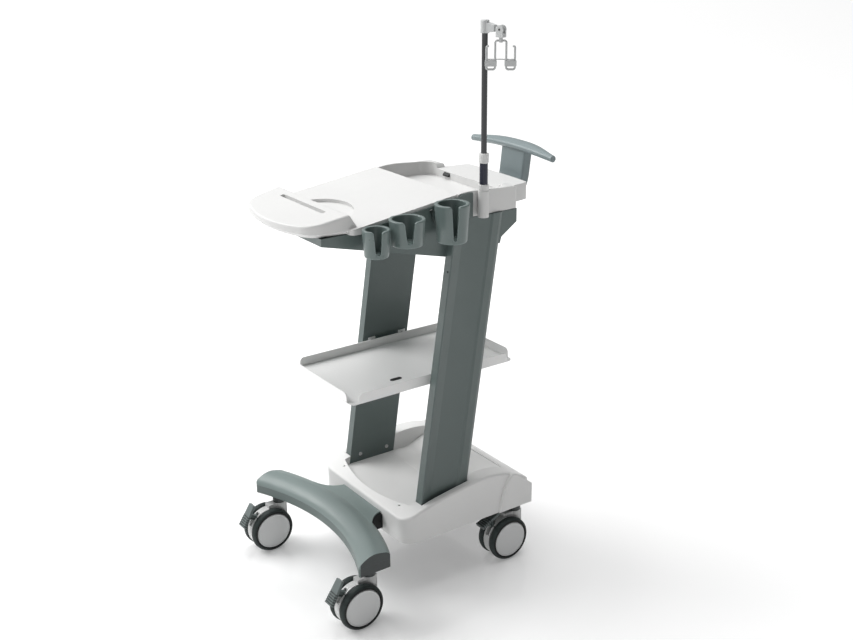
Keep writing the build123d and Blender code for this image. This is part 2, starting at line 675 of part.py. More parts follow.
def palm_rest():
    """Raised front of the table: bowed plan, top rising to the rear, short sloping rear face."""
    front_y, front_z = WING_FRONT
    rear_y, rear_z = WING_TOP_REAR
    with BuildPart() as wing:
        with BuildSketch(Plane.XY.offset(790)) as plan:
            with BuildLine():
                ThreePointArc((-97, -299), (0, front_y), (97, -299))
                ThreePointArc((97, -299), (120, -284), (131, -258))
                Polyline((131, -258), (139, -194), (-139, -194), (-131, -258))
                ThreePointArc((-131, -258), (-120, -284), (-97, -299))
            make_face()
            fillet(plan.vertices().sort_by(Axis.Y)[:4], 20)
        extrude(amount=80)
        with BuildSketch(side_plane(-TABLE_HALF)):
            with BuildLine():
                Polyline((front_y - 5, 812), (front_y - 5, front_z - 1), (rear_y, rear_z), (-194.5, 824.6),
                         (-194.5, 812), (front_y - 5, 812))
            make_face()
        extrude(amount=2 * TABLE_HALF, mode=Mode.INTERSECT)
    return wing.part


with BuildPart() as table_top:
    add(palm_rest())
    fillet(table_top.faces().sort_by(Axis.Z)[-1].edges(), 5)
    chamfer(table_top.faces().sort_by(Axis.Z)[0].edges().filter_by(GeomType.CIRCLE), 7)
    # sloping slab with a lip down the front of the pocket
    with BuildSketch(side_plane(-TABLE_HALF)):
        with BuildLine():
            lip_inner = TABLE_BREAK - 3
            Polyline((SLAB_FRONT, 812), (SLAB_FRONT, table_z(SLAB_FRONT)),
                     (TABLE_BREAK, table_z(TABLE_BREAK)), (TABLE_BREAK + 3, LIP_BOTTOM),
                     (lip_inner, LIP_BOTTOM), (lip_inner, table_z(lip_inner) - TABLE_THICK),
                     (-192, 811.4), (SLAB_FRONT, 812))
        make_face()
    extrude(amount=2 * TABLE_HALF)
    uprights = table_top.edges().filter_by(Axis.Z)
    side_uprights = uprights.filter_by(lambda e: abs(abs((e @ 0.5).X) - TABLE_HALF) < 0.1)
    fillet(side_uprights.filter_by(lambda e: (e @ 0.5).Y < SLAB_FRONT + 1), 9)
    # slot across the palm rest
    with BuildSketch(Plane.XY.offset(WING_TOP_REAR[1] - 12.4)):
        with Locations((0, -232)):
            SlotOverall(166, 10)
    extrude(amount=20, mode=Mode.SUBTRACT)
    # round shallow recess behind the palm rest
    recess_plane = Plane(origin=(0, -192, table_z(-192) - 7), x_dir=(1, 0, 0), z_dir=(0, -TABLE_SLOPE, 1))
    with BuildSketch(recess_plane):
        with BuildLine():
            Line((-RECESS_HALF, 2), (RECESS_HALF, 2))
            ThreePointArc((RECESS_HALF, 2), (0, RECESS_DEPTH), (-RECESS_HALF, 2))
        make_face()
    extrude(amount=30, mode=Mode.SUBTRACT)
    # hollow underside: one pocket in the palm rest, three under the slab
    with BuildSketch(Plane.XY.offset(780)):
        with BuildLine():
            ThreePointArc((-92, -286), (0, -303), (92, -286))
            Polyline((92, -286), (118, -258), (124, -208), (-124, -208), (-118, -258), (-92, -286))
        make_face()
    extrude(amount=49, mode=Mode.SUBTRACT)
    with BuildSketch(Plane(origin=(0, -192, 790), x_dir=(1, 0, 0), z_dir=(0, -TABLE_SLOPE, 1))):
        for hollow_x, hollow_width in ((-138.5, 11), (0, 252), (138.5, 11)):
            with Locations((hollow_x, 142)):
                Rectangle(hollow_width, 150)
    extrude(amount=30.5, mode=Mode.SUBTRACT)
save(table_top.part, "table_top")


def pocket_plan():
    """Plan of the pocket: open to the front, rounded into the step at its rear."""
    half = BLOCK_HALF - RIM_THICK
    with BuildSketch() as plan:
        with BuildLine():
            Polyline((-STEP_HALF, POCKET_REAR), (STEP_HALF, POCKET_REAR))
            ThreePointArc((STEP_HALF, POCKET_REAR), (half - 9, POCKET_REAR - 9), (half, POCKET_REAR - 31))
            Polyline((half, POCKET_REAR - 31), (half, BLOCK_FRONT - 4), (-half, BLOCK_FRONT - 4),
                     (-half, POCKET_REAR - 31))
            ThreePointArc((-half, POCKET_REAR - 31), (-half + 9, POCKET_REAR - 9), (-STEP_HALF, POCKET_REAR))
        make_face()
    return plan.sketch


# White rear moulding: pocket with its raised rim, platform behind it, boss of the pole, seat of the latch
with BuildPart() as rear_block:
    # body of the pocket under a rim that sinks to the rear
    with BuildSketch(side_plane(-BLOCK_HALF)):
        with BuildLine():
            Line((BLOCK_FRONT, BLOCK_BOTTOM), (BLOCK_FRONT, RIM_PROFILE_TOP[0][1]))
            Spline(*RIM_PROFILE_TOP)
            Polyline(RIM_PROFILE_TOP[-1], (RIM_REAR, BLOCK_BOTTOM), (BLOCK_FRONT, BLOCK_BOTTOM))
        make_face()
    extrude(amount=2 * BLOCK_HALF)
    with BuildSketch(Plane.XY.offset(POCKET_FLOOR)):
        add(pocket_plan())
    extrude(amount=60, mode=Mode.SUBTRACT)
    # the rim falls to the platform beside the step
    rim_full = RIM_END + 17
    with BuildSketch(Plane.XZ.offset(-POCKET_REAR + 1)):
        with BuildLine():
            for side in (-1, 1):
                ThreePointArc((side * RIM_END, PLATFORM_TOP), (side * (RIM_END + 5), PLATFORM_TOP + 8),
                              (side * rim_full, PLATFORM_TOP + 14))
                Line((side * rim_full, PLATFORM_TOP + 14), (side * rim_full, 880))
            Line((-RIM_END, PLATFORM_TOP), (RIM_END, PLATFORM_TOP))
            Line((-rim_full, 880), (rim_full, 880))
        make_face()
    extrude(amount=-60, mode=Mode.SUBTRACT)
    rim_corners = rear_block.edges().filter_by(Axis.Z).filter_by(lambda e: (e @ 0.5).Y > RIM_REAR - 1)
    fillet(rim_corners, 9)
    # narrower body behind it, which reaches to the handle
    with BuildSketch(Plane.XY.offset(BLOCK_BOTTOM)):
        with BuildLine():
            Polyline((-113, RIM_REAR - 14), (-113, RIM_REAR + 4), (-104, 244))
            ThreePointArc((-104, 244), (-101, 247), (-97, 248.4))
            ThreePointArc((-97, 248.4), (0, BLOCK_REAR), (97, 248.4))
            ThreePointArc((97, 248.4), (101, 247), (104, 244))
            Polyline((104, 244), (113, RIM_REAR + 4), (113, RIM_REAR - 14), (-113, RIM_REAR - 14))
        make_face()
    extrude(amount=PLATFORM_TOP - BLOCK_BOTTOM)
    # boss of the pole on a web out from the side wall
    with BuildSketch(Plane.XY.offset(BLOCK_BOTTOM)):
        with Locations((POLE_X, POLE_Y)):
            Circle(11)
        Polygon((167.6, 94.1), (156.4, 79.9), (BLOCK_HALF - 4, 90), (BLOCK_HALF - 4, 108),
                (151.8, 106.5), align=None)
    extrude(amount=BOSS_TOP - BLOCK_BOTTOM)
    # hollow from below, around the tray under the table and behind it
    with BuildSketch(Plane.XY.offset(BLOCK_BOTTOM)):
        with Locations((0, (BLOCK_FRONT + 3.6 + 160) / 2)):
            Rectangle(2 * (BLOCK_HALF - 3.2), 160 - BLOCK_FRONT - 3.6)
    extrude(amount=POCKET_FLOOR - 3.4 - BLOCK_BOTTOM, mode=Mode.SUBTRACT)
    with BuildSketch(Plane.XY.offset(BLOCK_BOTTOM)):
        with Locations((0, 212)):
            Rectangle(196, 66)
    extrude(amount=PLATFORM_TOP - 4 - BLOCK_BOTTOM, mode=Mode.SUBTRACT)
    # blind bore of the pole
    with BuildSketch(Plane.XY.offset(BLOCK_BOTTOM + 3)):
        with Locations((POLE_X, POLE_Y)):
            Circle(POLE_BORE_RADIUS)
    extrude(amount=60, mode=Mode.SUBTRACT)
    # notch of the latch
    with BuildSketch(Plane.XY.offset(LATCH_BOTTOM - 0.4)):
        with Locations((LATCH_X, POCKET_REAR + 7)):
            Rectangle(LATCH_WIDTH + 0.8, 20)
    extrude(amount=LATCH_HEIGHT + 0.8, mode=Mode.SUBTRACT)
save(rear_block.part, "rear_block")

# Black catch with a sloping nose
with BuildPart() as latch:
    with BuildSketch(side_plane(LATCH_X - LATCH_WIDTH / 2)):
        with BuildLine():
            Polyline((POCKET_REAR - 4, LATCH_BOTTOM), (POCKET_REAR - 4, LATCH_BOTTOM + 4),
                     (POCKET_REAR + 1, LATCH_BOTTOM + LATCH_HEIGHT),
                     (POCKET_REAR + 11, LATCH_BOTTOM + LATCH_HEIGHT),
                     (POCKET_REAR + 11, LATCH_BOTTOM), (POCKET_REAR - 4, LATCH_BOTTOM))
        make_face()
    extrude(amount=LATCH_WIDTH)
    fillet(latch.edges().filter_by(Axis.Y), 0.8)
save(latch.part, "latch")


# ---------------------------------------------------------------- transducer holder

with BuildPart() as holder_rail:
    with BuildSketch(side_plane(RAIL_X)):
        with BuildLine():
            Polyline((-190, 796), (-190, table_z(-190) - 6), (35, table_z(35) - 6), (45, 853), (69, 853),
                     (69, 804), (20, 804), (8, 797), (-190, 796))
        make_face()
        with Locations((-32, 831)):
            Circle(4.5, mode=Mode.SUBTRACT)
        with BuildLine():
            Polyline((-34.5, 831), (-33, 816), (-24, 796), (-17, 796), (-28, 818), (-29.5, 831), (-34.5, 831))
        make_face(mode=Mode.SUBTRACT)
    extrude(amount=RAIL_THICK)
save(holder_rail.part, "holder_rail")


def cup(name, x, y, rim, height, outer, inner, slot_top, slot_bottom):
    """Tapered cup with a rounded rim, a drain hole, an outward slot and a flat towards the rail."""
    taper = 0.86
    angle = radians(CUP_SLOT_ANGLE)
    floor = 4
    with BuildPart() as body:
        with Locations((x, y, rim - height / 2)):
            Cone(outer * taper, outer, height)
        with Locations((x, y, rim - (height - floor) / 2)):
            Cone(inner * taper, inner, height - floor, mode=Mode.SUBTRACT)
        fillet(body.faces().sort_by(Axis.Z)[-1].edges(), 2.4)
        fillet(body.faces().sort_by(Axis.Z)[0].edges(), 3)
        with BuildSketch(Plane.XY.offset(rim - height)):
            with Locations((x, y)):
                Circle(6)
        extrude(amount=floor, mode=Mode.SUBTRACT)
        with BuildSketch(Plane.XY.offset(rim - height)):
            with Locations((RAIL_X + RAIL_THICK - 20, y)):
                Rectangle(40, 2 * outer)
        extrude(amount=height, mode=Mode.SUBTRACT)
        slot_plane = Plane(origin=(x, y, rim), x_dir=(-sin(angle), cos(angle), 0),
                           z_dir=(cos(angle), sin(angle), 0))
        low = -height + 8 + slot_bottom / 2
        with BuildSketch(slot_plane):
            with BuildLine():
                Polyline((-slot_bottom / 2, low), (-slot_top / 2 + 2, -3), (-slot_top / 2 - 3, 1),
                         (slot_top / 2 + 3, 1), (slot_top / 2 - 2, -3), (slot_bottom / 2, low))
                ThreePointArc((slot_bottom / 2, low), (0, low - slot_bottom / 2), (-slot_bottom / 2, low))
            make_face()
        extrude(amount=outer + 6, mode=Mode.SUBTRACT)
    save(body.part, name)


for cup_values in CUPS:
    cup(*cup_values)


# ---------------------------------------------------------------- cable hanger

def pole_ring(name, radius, bottom, top, edge):
    """One of the rings the pole turns in."""
    with BuildPart() as ring:
        with BuildSketch(Plane.XY.offset(bottom)):
            with Locations((POLE_X, POLE_Y)):
                Circle(radius)
        extrude(amount=top - bottom)
        chamfer(ring.edges().filter_by(GeomType.CIRCLE), edge)
        with BuildSketch(Plane.XY.offset(bottom)):
            with Locations((POLE_X, POLE_Y)):
                Circle(POLE_BORE_RADIUS)
        extrude(amount=top - bottom, mode=Mode.SUBTRACT)
    save(ring.part, name)


pole_ring("pole_socket", 10.2, BOSS_TOP, 870, 1)
pole_ring("pole_sleeve", 8.25, 870, 913, 0.4)
pole_ring("pole_collar", 10, 913, 932.5, 1.2)

with BuildPart() as pole:
    with BuildSketch(Plane.XY.offset(BLOCK_BOTTOM + 3.4)):
        with Locations((POLE_X, POLE_Y)):
            Circle(POLE_RADIUS)
    extrude(amount=POLE_TOP - 1 - BLOCK_BOTTOM - 3.4)
save(pole.part, "pole")

arm_direction = Vector(cos(radians(ARM_ANGLE)), sin(radians(ARM_ANGLE)), 0)
arm_side = Vector(-sin(radians(ARM_ANGLE)), cos(radians(ARM_ANGLE)), 0)
pin_point = Vector(POLE_X, POLE_Y, PIN_HEIGHT) + arm_direction * ARM_REACH
arm_plane = Plane(origin=(POLE_X, POLE_Y, PIN_HEIGHT), x_dir=arm_direction, z_dir=arm_side * -1)
pin_plane = Plane(origin=pin_point, x_dir=arm_direction, z_dir=arm_side * -1)
PIN_RADIUS = 2.0
TONGUE_THICK = 6.0
CLEVIS_GAP = 6.6
CLEVIS_WIDTH = 12.0

# Capped ring on the pole with a tapering arm and a tongue at its end
with BuildPart() as head_bracket:
    with BuildSketch(Plane.XY.offset(1164)):
        with Locations((POLE_X, POLE_Y)):
            Circle(8.5)
    extrude(amount=24.5)
    fillet(head_bracket.faces().sort_by(Axis.Z)[-1].edges(), 2.5)
    with BuildSketch(arm_plane):
        with BuildLine():
            Polyline((0, -7), (0, 11.5), (12, 10), (25, 7), (25, -5), (12, -7), (0, -7))
        make_face()
    extrude(amount=5.5, both=True)
    with BuildSketch(arm_plane):
        with BuildLine():
            Polyline((20, -4.6), (20, 4.6), (ARM_REACH, 4.6))
            ThreePointArc((ARM_REACH, 4.6), (ARM_REACH + 4.6, 0), (ARM_REACH, -4.6))
            Line((ARM_REACH, -4.6), (20, -4.6))
        make_face()
    extrude(amount=TONGUE_THICK / 2, both=True)
    with BuildSketch(Plane.XY.offset(1164)):
        with Locations((POLE_X, POLE_Y)):
            Circle(POLE_RADIUS)
    extrude(amount=POLE_TOP - 1 - 1164, mode=Mode.SUBTRACT)
    with BuildSketch(pin_plane):
        Circle(PIN_RADIUS)
    extrude(amount=10, both=True, mode=Mode.SUBTRACT)
save(head_bracket.part, "head_bracket")

# Fork hanging on the tongue
with BuildPart() as swivel_block:
    with BuildSketch(pin_plane):
        Circle(8.4)
        with Locations((0, -7.2)):
            Rectangle(16, 14.4)
    extrude(amount=CLEVIS_WIDTH / 2, both=True)
    with BuildSketch(pin_plane):
        with Locations((0, 2)):
            Rectangle(40, 18)
    extrude(amount=CLEVIS_GAP / 2, both=True, mode=Mode.SUBTRACT)
    with BuildSketch(pin_plane):
        Circle(PIN_RADIUS + 0.05)
    extrude(amount=10, both=True, mode=Mode.SUBTRACT)
    with BuildSketch(Plane(origin=(pin_point.X, pin_point.Y, PIN_HEIGHT - 20))):
        Circle(2.05)
    extrude(amount=15, mode=Mode.SUBTRACT)
save(swivel_block.part, "swivel_block")

with BuildPart() as hinge_pin:
    with BuildSketch(pin_plane):
        Circle(PIN_RADIUS)
    extrude(amount=CLEVIS_WIDTH / 2 + 0.8, both=True)
save(hinge_pin.part, "hinge_pin")

hanger_direction = Vector(cos(radians(HANGER_ANGLE)), sin(radians(HANGER_ANGLE)), 0)
hanger_side = Vector(sin(radians(HANGER_ANGLE)), -cos(radians(HANGER_ANGLE)), 0)
hanger_plane = Plane(origin=(pin_point.X, pin_point.Y, 0), x_dir=hanger_direction, z_dir=hanger_side)
WIRE_TOP = 1152.4
WIRE_LOW = 1098.5
LEG_INNER = 10.5
LEG_OUTER = 27.0
HOOK_TOP = 1142.0
WIRE_CORNER = 4.0
STRAP_Z = 1110.0
BEND = 1 - cos(radians(45))       # share of a bend's radius its middle stays inside the corner

# Headed stud with an eye for the wire
with BuildPart() as swivel_eye:
    stud_origin = (pin_point.X, pin_point.Y, 0)
    with BuildSketch(Plane(origin=stud_origin).offset(WIRE_TOP - 3.4)):
        Circle(3.6)
    extrude(amount=9)
    with BuildSketch(Plane(origin=stud_origin).offset(WIRE_TOP)):
        Circle(2)
    extrude(amount=PIN_HEIGHT - 6.8 - WIRE_TOP)
    with BuildSketch(Plane(origin=stud_origin).offset(PIN_HEIGHT - 6.8)):
        Circle(3)
    extrude(amount=1.5)
    with BuildSketch(Plane(origin=(pin_point.X, pin_point.Y, WIRE_TOP), x_dir=hanger_side,
                           z_dir=hanger_direction)):
        Circle(WIRE_RADIUS)
    extrude(amount=10, both=True, mode=Mode.SUBTRACT)
save(swivel_eye.part, "swivel_eye")

# Bent wire with two open hooks and a thin cross wire
with BuildPart() as wire_hanger:
    low_bend = WIRE_LOW + WIRE_CORNER
    with BuildLine(hanger_plane) as wire_path:
        for side in (-1, 1):
            Line((side * 22.5, HOOK_TOP), (side * 24, HOOK_TOP))
            ThreePointArc((side * 24, HOOK_TOP), (side * (LEG_OUTER - 3 * BEND), HOOK_TOP - 3 * BEND),
                          (side * LEG_OUTER, HOOK_TOP - 3))
            Line((side * LEG_OUTER, HOOK_TOP - 3), (side * LEG_OUTER, low_bend))
            ThreePointArc((side * LEG_OUTER, low_bend),
                          (side * (LEG_OUTER - WIRE_CORNER * BEND), WIRE_LOW + WIRE_CORNER * BEND),
                          (side * (LEG_OUTER - WIRE_CORNER), WIRE_LOW))
            Line((side * (LEG_OUTER - WIRE_CORNER), WIRE_LOW), (side * (LEG_INNER + WIRE_CORNER), WIRE_LOW))
            ThreePointArc((side * (LEG_INNER + WIRE_CORNER), WIRE_LOW),
                          (side * (LEG_INNER + WIRE_CORNER * BEND), WIRE_LOW + WIRE_CORNER * BEND),
                          (side * LEG_INNER, low_bend))
            Line((side * LEG_INNER, low_bend), (side * LEG_INNER, WIRE_TOP - WIRE_CORNER))
            ThreePointArc((side * LEG_INNER, WIRE_TOP - WIRE_CORNER),
                          (side * (LEG_INNER - WIRE_CORNER * BEND), WIRE_TOP - WIRE_CORNER * BEND),
                          (side * (LEG_INNER - WIRE_CORNER), WIRE_TOP))
        Line((-LEG_INNER + WIRE_CORNER, WIRE_TOP), (LEG_INNER - WIRE_CORNER, WIRE_TOP))
    for bend in wire_path.edges():
        with BuildSketch(Plane(origin=bend @ 0, x_dir=hanger_side, z_dir=bend % 0)):
            Circle(WIRE_RADIUS)
        sweep(path=bend)
    with BuildSketch(Plane(origin=(pin_point.X, pin_point.Y, STRAP_Z + 7.6), x_dir=hanger_side,
                           z_dir=hanger_direction)):
        Circle(1.1)
    extrude(amount=LEG_OUTER, both=True)
save(wire_hanger.part, "wire_hanger")

# Straps riveted across the legs
with BuildPart() as hanger_clips:
    for side in (-1, 1):
        strap_s = side * (LEG_OUTER + LEG_INNER) / 2
        for face in (-1, 1):
            with BuildSketch(hanger_plane.offset(face * WIRE_RADIUS)):
                with Locations((strap_s, STRAP_Z)):
                    RectangleRounded(22.5, 11, 1)
            extrude(amount=face * 1.2)
        with BuildSketch(hanger_plane):
            with Locations((strap_s, STRAP_Z)):
                Circle(1.8)
        extrude(amount=WIRE_RADIUS + 0.6, both=True)
save(hanger_clips.part, "hanger_clips")


# ---------------------------------------------------------------- handle

# Stations along the bar: x as a share of half its length, blend from end to middle
BAR_STATIONS = [(-1.0, 0.0), (-0.86, 0.22), (-0.62, 0.6), (-0.32, 0.92), (0.0, 1.0),
                (0.32, 0.92), (0.62, 0.6), (0.86, 0.22), (1.0, 0.0)]


def bar_solid():
    """Flattened bar, thick in the middle, bowed away from the user at its middle."""
    with BuildPart() as bar:
        for share, blend in BAR_STATIONS:
            y = BAR_END[0] + (BAR_MIDDLE[0] - BAR_END[0]) * blend
            z = BAR_END[1] + (BAR_MIDDLE[1] - BAR_END[1]) * blend
            with BuildSketch(side_plane(share * BAR_HALF, y, z)):
                Ellipse(7 + 12 * blend, 7 + 3.5 * blend)
        loft()
        fillet(bar.faces().filter_by(GeomType.PLANE).edges(), 1.6)
    return bar.part


handle_solid = bar_solid()
save(handle_solid, "handle_bar")

with BuildPart() as handle_stalk:
    with BuildSketch(side_plane(-40)):
        with BuildLine():
            Spline((FRAME_REAR, 790), (236, 792), (268, 806), (285, 835), tangents=((1, 0), (0.17, 1)))
            Polyline((285, 835), (292, 892), (314, 888), (307, 835))
            Spline((307, 835), (290, 796), (250, 774), (FRAME_REAR, 767), tangents=((-0.15, -1), (-1, 0)))
            Line((FRAME_REAR, 767), (FRAME_REAR, 790))
        make_face()
    extrude(amount=80)
    fillet(handle_stalk.edges().filter_by(lambda e: e.length > 25 and abs((e @ 0.5).X) > 39.9), 4)
    add(bar_solid(), mode=Mode.SUBTRACT)
save(handle_stalk.part, "handle_stalk")
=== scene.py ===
import json
import math

import bmesh
import bpy
from mathutils import Matrix, Vector

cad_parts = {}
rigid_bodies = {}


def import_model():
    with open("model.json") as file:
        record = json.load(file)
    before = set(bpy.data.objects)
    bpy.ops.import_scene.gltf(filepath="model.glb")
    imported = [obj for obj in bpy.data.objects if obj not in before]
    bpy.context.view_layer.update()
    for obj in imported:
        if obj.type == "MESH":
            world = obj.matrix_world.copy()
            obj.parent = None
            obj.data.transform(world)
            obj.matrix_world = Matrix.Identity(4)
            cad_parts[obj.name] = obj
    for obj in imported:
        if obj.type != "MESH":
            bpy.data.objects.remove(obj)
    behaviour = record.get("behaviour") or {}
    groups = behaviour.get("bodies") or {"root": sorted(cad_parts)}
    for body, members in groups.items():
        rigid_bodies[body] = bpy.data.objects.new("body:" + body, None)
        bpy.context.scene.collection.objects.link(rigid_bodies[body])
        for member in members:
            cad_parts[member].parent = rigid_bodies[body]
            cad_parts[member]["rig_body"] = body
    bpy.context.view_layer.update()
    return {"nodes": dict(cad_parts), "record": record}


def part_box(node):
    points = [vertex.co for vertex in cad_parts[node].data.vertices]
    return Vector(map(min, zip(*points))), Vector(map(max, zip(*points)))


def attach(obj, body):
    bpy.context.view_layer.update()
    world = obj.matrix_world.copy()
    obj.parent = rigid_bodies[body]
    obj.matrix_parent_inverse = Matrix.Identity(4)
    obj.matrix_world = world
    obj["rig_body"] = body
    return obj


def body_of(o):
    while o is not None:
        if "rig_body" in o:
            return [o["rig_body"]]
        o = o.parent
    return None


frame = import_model()

NODES = frame["nodes"]
SLOT_OF = {part["node"]: part["material_slot"] for part in frame["record"]["subparts"]}

COLOUR_OUT = 2                     # the colour output of a Mix node, and its two colour inputs
COLOUR_IN = (6, 7)
BEVEL_SAMPLES = 6

FOOT_END_SHADE_DEPTH = 0.0004            # how far the painted shade on the foot's flat ends goes in
RIB_PITCH = 0.0052                 # pedal ribs: spacing, middle of the first rib, length of the ribbed part
RIB_MIDDLE = 0.0016
RIBBED_LENGTH = 0.0268
PEDAL_SLOPE = (0.505, 0.863)       # Y and Z of a pressed pedal's plate, from toe to heel
PEDAL_RELEASED = math.radians(-35)
RING_STEPS = 96
OBLONG_STEPS = 32
SHEET = 0.002                      # thickness of the shelf's sheet metal
SLOT_OFFSET = (0.060, 0.146)       # shelf slot: X from the shelf's middle, Y from its front edge


# ---------------------------------------------------------------- node helpers

def arithmetic(tree, operation, first, second=0.0):
    """The outcome of a maths node on two sockets or numbers."""
    made = tree.nodes.new("ShaderNodeMath")
    made.operation = operation
    for socket, value in zip(made.inputs, (first, second)):
        if isinstance(value, (int, float)):
            socket.default_value = value
        else:
            tree.links.new(value, socket)
    return made.outputs["Value"]


def dot_product(tree, vector, direction):
    """The length of a vector socket along a fixed direction."""
    made = tree.nodes.new("ShaderNodeVectorMath")
    made.operation = "DOT_PRODUCT"
    made.inputs[1].default_value = direction
    tree.links.new(vector, made.inputs[0])
    return made.outputs["Value"]


def ranged(tree, value, low, high, start=0.0, end=1.0):
    """The value's start-end range turned into low-high."""
    made = tree.nodes.new("ShaderNodeMapRange")
    made.inputs["From Min"].default_value = start
    made.inputs["From Max"].default_value = end
    made.inputs["To Min"].default_value = low
    made.inputs["To Max"].default_value = high
    tree.links.new(value, made.inputs["Value"])
    return made.outputs["Result"]


def mixed(tree, factor, first, second):
    """Colour mixed by a factor socket between two colours or colour sockets."""
    made = tree.nodes.new("ShaderNodeMix")
    made.data_type = "RGBA"
    tree.links.new(factor, made.inputs[0])
    for value, index in zip((first, second), COLOUR_IN):
        if isinstance(value, tuple):
            made.inputs[index].default_value = value
        else:
            tree.links.new(value, made.inputs[index])
    return made.outputs[COLOUR_OUT]


# ---------------------------------------------------------------- materials

def srgb(r, g, b):
    """Linear colour from 0-255 sRGB numbers."""
    def linear(v):
        v /= 255
        return v / 12.92 if v <= 0.04045 else ((v + 0.055) / 1.055) ** 2.4
    return (linear(r), linear(g), linear(b), 1.0)


def shade(colour, factor):
    return tuple(min(1.0, c * factor) for c in colour[:3]) + (1.0,)


class Surface:
    """A Principled material with object-space texture nodes."""

    def __init__(self, name, roughness, metallic=0.0, specular=0.5, coat=0.0, coat_roughness=0.2):
        self.material = bpy.data.materials.new(name)
        self.material.use_nodes = True
        self.tree = self.material.node_tree
        self.tree.nodes.clear()
        output = self.tree.nodes.new("ShaderNodeOutputMaterial")
        self.shader = self.tree.nodes.new("ShaderNodeBsdfPrincipled")
        self.tree.links.new(self.shader.outputs["BSDF"], output.inputs["Surface"])
        self.shader.inputs["Roughness"].default_value = roughness
        self.shader.inputs["Metallic"].default_value = metallic
        self.shader.inputs["Specular IOR Level"].default_value = specular
        self.shader.inputs["Coat Weight"].default_value = coat
        self.shader.inputs["Coat Roughness"].default_value = coat_roughness
        self.position = self.tree.nodes.new("ShaderNodeTexCoord").outputs["Object"]
        self.normal = None

    def feed(self, name, value):
        """Drives one of the shader's inputs from a socket."""
        self.tree.links.new(value, self.shader.inputs[name])

    def noise(self, scale, detail=3.0, roughness=0.5, stretch=None):
        """Noise in object space, stretched along an axis if asked."""
        texture = self.tree.nodes.new("ShaderNodeTexNoise")
        texture.inputs["Scale"].default_value = scale
        texture.inputs["Detail"].default_value = detail
        texture.inputs["Roughness"].default_value = roughness
        place = self.position
        if stretch:
            mapping = self.tree.nodes.new("ShaderNodeMapping")
            mapping.inputs["Scale"].default_value = stretch
            self.tree.links.new(place, mapping.inputs["Vector"])
            place = mapping.outputs["Vector"]
        self.tree.links.new(place, texture.inputs["Vector"])
        return texture.outputs["Fac"]

    def span(self, value, low, high, start=0.0, end=1.0):
        return ranged(self.tree, value, low, high, start, end)

    def mix(self, factor, first, second):
        return mixed(self.tree, factor, first, second)

    def rounded_normal(self, radius):
        """The surface's normal as if its sharp edges were rounded to that radius."""
        bevel = self.tree.nodes.new("ShaderNodeBevel")
        bevel.samples = BEVEL_SAMPLES
        bevel.inputs["Radius"].default_value = radius
        return bevel.outputs["Normal"]

    def round_edges(self, radius):
        self.normal = self.rounded_normal(radius)

    def edge_mask(self, radius):
        """1 along sharp edges, 0 on flat areas."""
        geometry = self.tree.nodes.new("ShaderNodeNewGeometry")
        product = self.tree.nodes.new("ShaderNodeVectorMath")
        product.operation = "DOT_PRODUCT"
        self.tree.links.new(self.rounded_normal(radius), product.inputs[0])
        self.tree.links.new(geometry.outputs["Normal"], product.inputs[1])
        return self.span(product.outputs["Value"], 1.0, 0.0, 0.86, 0.995)

    def bump(self, height, strength, distance):
        """Adds a bump layer on top of the present normal."""
        layer = self.tree.nodes.new("ShaderNodeBump")
        layer.inputs["Strength"].default_value = strength
        layer.inputs["Distance"].default_value = distance
        self.tree.links.new(height, layer.inputs["Height"])
        self.tree.links.new(self.normal, layer.inputs["Normal"])
        self.normal = layer.outputs["Normal"]

    def finish(self, colour):
        self.feed("Base Color", colour)
        if self.normal:
            self.feed("Normal", self.normal)
        return self.material


def moulded(name, colour, roughness=0.42, edge=0.0008, edge_highlight=1.12):
    """Moulded plastic: fine spark-eroded grain, faint cloudy tone, and a painted highlight that makes the
    edges slightly paler.
    """
    surface = Surface(name, roughness)
    tone = surface.mix(surface.noise(7.0, 2.0), shade(colour, 0.965), shade(colour, 1.035))
    # painted highlight: the edges are paler
    coloured = surface.mix(surface.edge_mask(edge * 1.6), tone, shade(colour, edge_highlight))
    surface.feed("Roughness", surface.span(surface.noise(38.0), roughness - 0.05, roughness + 0.05, 0.3, 0.7))
    surface.round_edges(edge)
    surface.bump(surface.noise(1400.0, 2.0, 0.6), 0.35, 0.00006)
    return surface.finish(coloured)


def painted(name, colour, roughness=0.45, edge_highlight=1.35, metallic=0.0, coat=0.15):
    """Powder-coated metal: orange peel, very fine speckle, and paler edges that are partly wear and partly a
    painted highlight.
    """
    edge = 0.0007
    surface = Surface(name, roughness, metallic=metallic, coat=coat, coat_roughness=0.35)
    fleck = surface.span(surface.noise(2600.0, 1.0), 0.0, 1.0, 0.35, 0.65)
    tone = surface.mix(fleck, shade(colour, 0.93), shade(colour, 1.08))
    breakup = surface.span(surface.noise(60.0, 4.0), 0.45, 1.0, 0.35, 0.6)
    # paler edges: wear broken up by noise, together with a painted highlight
    wear_and_highlight = arithmetic(surface.tree, "MULTIPLY", surface.edge_mask(edge * 1.5), breakup)
    coloured = surface.mix(wear_and_highlight, tone, shade(colour, edge_highlight))
    surface.feed("Roughness", surface.span(surface.noise(22.0), roughness - 0.06, roughness + 0.06, 0.3, 0.7))
    surface.round_edges(edge)
    surface.bump(surface.noise(620.0, 2.0, 0.45), 0.3, 0.0001)
    return surface.finish(coloured)


def rubber(name, colour, roughness=0.62):
    """Soft tread: matte, faintly dusty where it has run."""
    surface = Surface(name, roughness, specular=0.35)
    dusty = surface.span(surface.noise(90.0, 5.0, 0.65), 0.0, 1.0, 0.42, 0.75)
    tone = surface.mix(dusty, colour, shade(colour, 1.7))
    surface.round_edges(0.0006)
    surface.bump(surface.noise(1500.0, 2.0, 0.6), 0.4, 0.00008)
    return surface.finish(tone)


